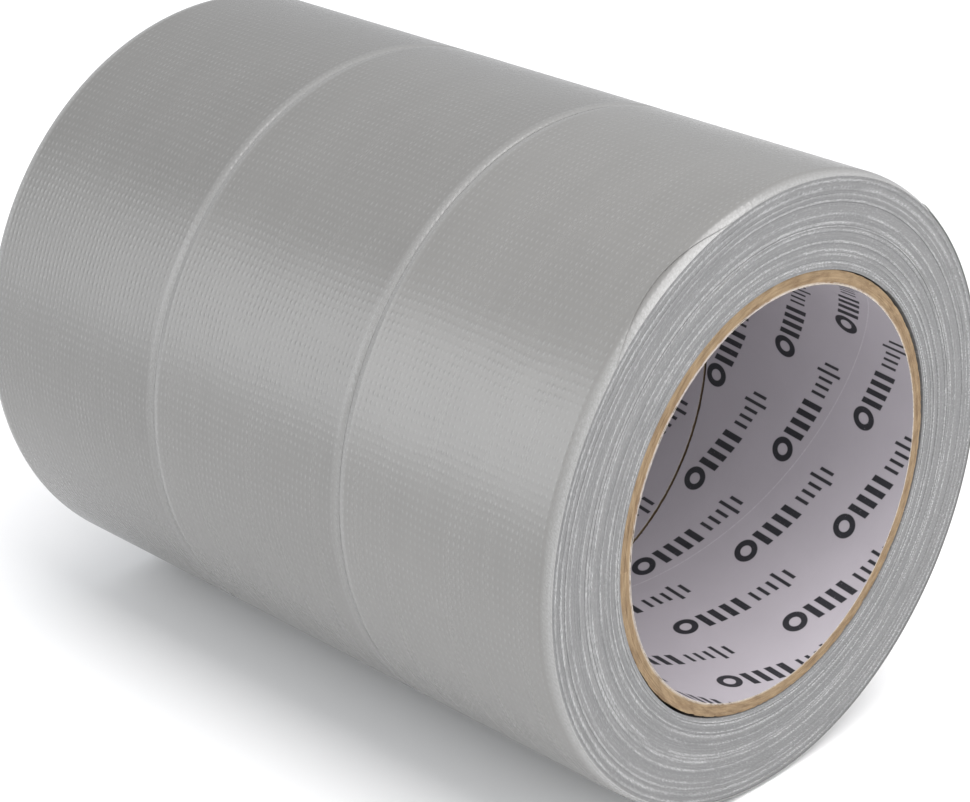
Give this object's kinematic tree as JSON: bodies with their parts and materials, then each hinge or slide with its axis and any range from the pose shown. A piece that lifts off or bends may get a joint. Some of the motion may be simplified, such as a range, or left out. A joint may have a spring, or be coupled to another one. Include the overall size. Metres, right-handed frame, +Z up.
{
  "type": "stack of duct tape rolls",
  "caption": "Wide rolls of silver cloth duct tape, wound on printed paper cores, lying side by side on one axis. The end rolls slide off and each tape end peels.",
  "frame": {"origin": "on the surface that the stack lies on, under the middle of its axis and the middle of its length", "axes": "+Z up, +Y along the rolls' common axis from the front roll to the rear roll, +X to the right when looking along +Y; the free ends are on the +X side"},
  "size_m": [0.1165, 0.1492, 0.1163],
  "materials": {
    "liner_paper": "satin",
    "kraft_board": "matte",
    "tape_edge": "matte",
    "tape_film": "satin",
    "scrim": "matte",
    "adhesive": "satin"
  },
  "bodies": {
    "front_roll": {"front_bore_liner": "liner_paper", "front_core_inner_ply": "kraft_board", "front_core_outer_ply": "kraft_board", "front_wound_tape": "tape_edge", "front_last_turn": "tape_film"},
    "front_tail": {"front_tail_adhesive": "adhesive", "front_tail_scrim": "scrim", "front_tail_film": "tape_film"},
    "middle_roll": {"middle_bore_liner": "liner_paper", "middle_core_inner_ply": "kraft_board", "middle_core_outer_ply": "kraft_board", "middle_wound_tape": "tape_edge", "middle_last_turn": "tape_film"},
    "middle_tail": {"middle_tail_adhesive": "adhesive", "middle_tail_scrim": "scrim", "middle_tail_film": "tape_film"},
    "rear_roll": {"rear_bore_liner": "liner_paper", "rear_core_inner_ply": "kraft_board", "rear_core_outer_ply": "kraft_board", "rear_wound_tape": "tape_edge", "rear_last_turn": "tape_film"},
    "rear_tail": {"rear_tail_adhesive": "adhesive", "rear_tail_scrim": "scrim", "rear_tail_film": "tape_film"}
  },
  "joints": [
    {"name": "front_roll_slide", "type": "slide", "parent": "middle_roll", "child": "front_roll", "axis": [0, -1, 0], "range_m": [0, 0.06]},
    {"name": "rear_roll_slide", "type": "slide", "parent": "middle_roll", "child": "rear_roll", "axis": [0, 1, 0], "range_m": [0, 0.06]},
    {"name": "front_tail_peel", "type": "hinge", "parent": "front_roll", "child": "front_tail", "pos_m": [0.05652, -0.0498, 0.07286], "axis": [0, 1, 0], "range_deg": [0, 110]},
    {"name": "middle_tail_peel", "type": "hinge", "parent": "middle_roll", "child": "middle_tail", "pos_m": [0.05832, 0, 0.06079], "axis": [0, 1, 0], "range_deg": [0, 110]},
    {"name": "rear_tail_peel", "type": "hinge", "parent": "rear_roll", "child": "rear_tail", "pos_m": [0.05355, 0.0498, 0.08152], "axis": [0, 1, 0], "range_deg": [0, 110]}
  ]
}
